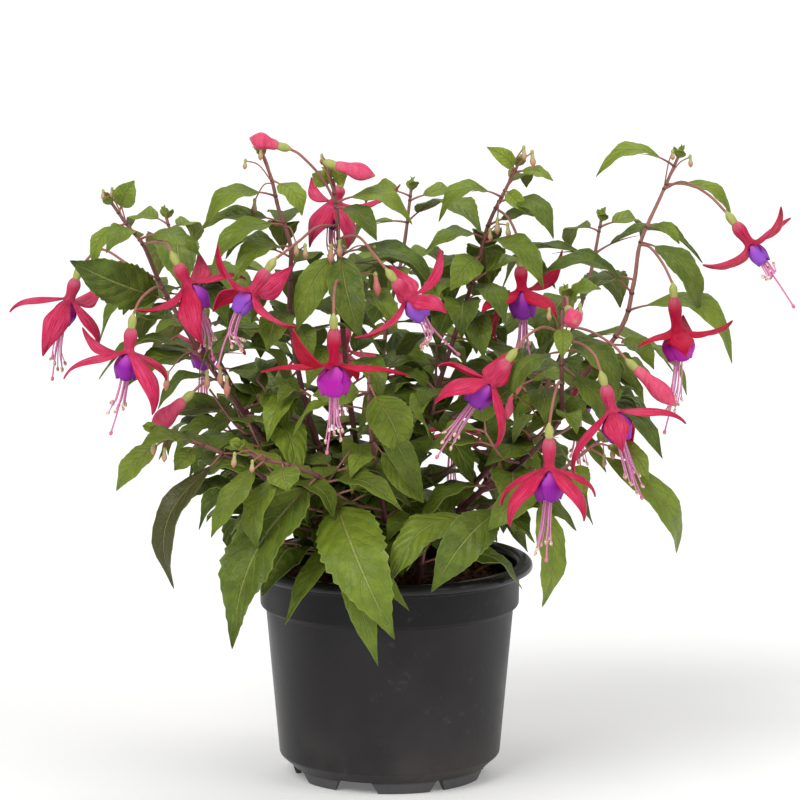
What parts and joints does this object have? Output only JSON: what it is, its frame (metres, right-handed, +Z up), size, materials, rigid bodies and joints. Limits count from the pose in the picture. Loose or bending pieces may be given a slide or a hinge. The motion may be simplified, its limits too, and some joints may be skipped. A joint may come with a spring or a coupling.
{
  "type": "potted fuchsia plant",
  "caption": "Bushy fuchsia with hanging red and violet flowers, standing in a plain round nursery pot with feet and soil.",
  "frame": {"origin": "on the axis of the pot, level with the undersides of its feet", "axes": "+Z up the pot's axis, +X along the plant's widest spread, -Y to the front"},
  "size_m": [0.3518, 0.2691, 0.2978],
  "materials": {
    "pot": "near-black satin polypropylene, with faint scuffs",
    "soil": "damp dark brown peat with crumbs and fibres",
    "foliage": "satin mid-green toothed leaves with pale veins, on reddish purple stems",
    "sepals": "crimson pink waxy sepals on a glossy pink tube, with pink stamens",
    "corolla": "soft violet petals with pink veins at the base",
    "bud": "waxy pink closed buds"
  },
  "bodies": {
    "root": {"pot": "pot", "soil": "soil", "bloom_1_sepals": "sepals", "bloom_1_corolla": "corolla", "bloom_2_sepals": "sepals", "bloom_2_corolla": "corolla", "bloom_3_sepals": "sepals", "bloom_3_corolla": "corolla", "bloom_4_sepals": "sepals", "bloom_4_corolla": "corolla", "bloom_5_sepals": "sepals", "bloom_5_corolla": "corolla", "bloom_6_sepals": "sepals", "bloom_6_corolla": "corolla", "bloom_7_sepals": "sepals", "bloom_7_corolla": "corolla", "bloom_8_sepals": "sepals", "bloom_8_corolla": "corolla", "bloom_9_sepals": "sepals", "bloom_9_corolla": "corolla", "bloom_10_sepals": "sepals", "bloom_10_corolla": "corolla", "bloom_11_sepals": "sepals", "bloom_11_corolla": "corolla", "bloom_12_sepals": "sepals", "bloom_12_corolla": "corolla", "bloom_13_sepals": "sepals", "bloom_13_corolla": "corolla", "bloom_14_sepals": "sepals", "bloom_14_corolla": "corolla", "bloom_15_sepals": "sepals", "bloom_15_corolla": "corolla", "bloom_16_sepals": "sepals", "bloom_16_corolla": "corolla", "bloom_17_sepals": "sepals", "bloom_17_corolla": "corolla", "bud_1": "bud", "bud_2": "bud", "bud_3": "bud", "bud_4": "bud", "bud_5": "bud", "stem_left_low": "foliage", "stem_left_upper": "foliage", "stem_left_centre": "foliage", "stem_centre": "foliage", "stem_right_centre": "foliage", "stem_right_tall": "foliage", "stem_right_vertical": "foliage", "stem_front_centre": "foliage", "stem_front_left": "foliage", "stem_front_right": "foliage", "stem_back_left": "foliage", "stem_back_centre": "foliage", "stem_back_right": "foliage"}
  },
  "joints": []
}
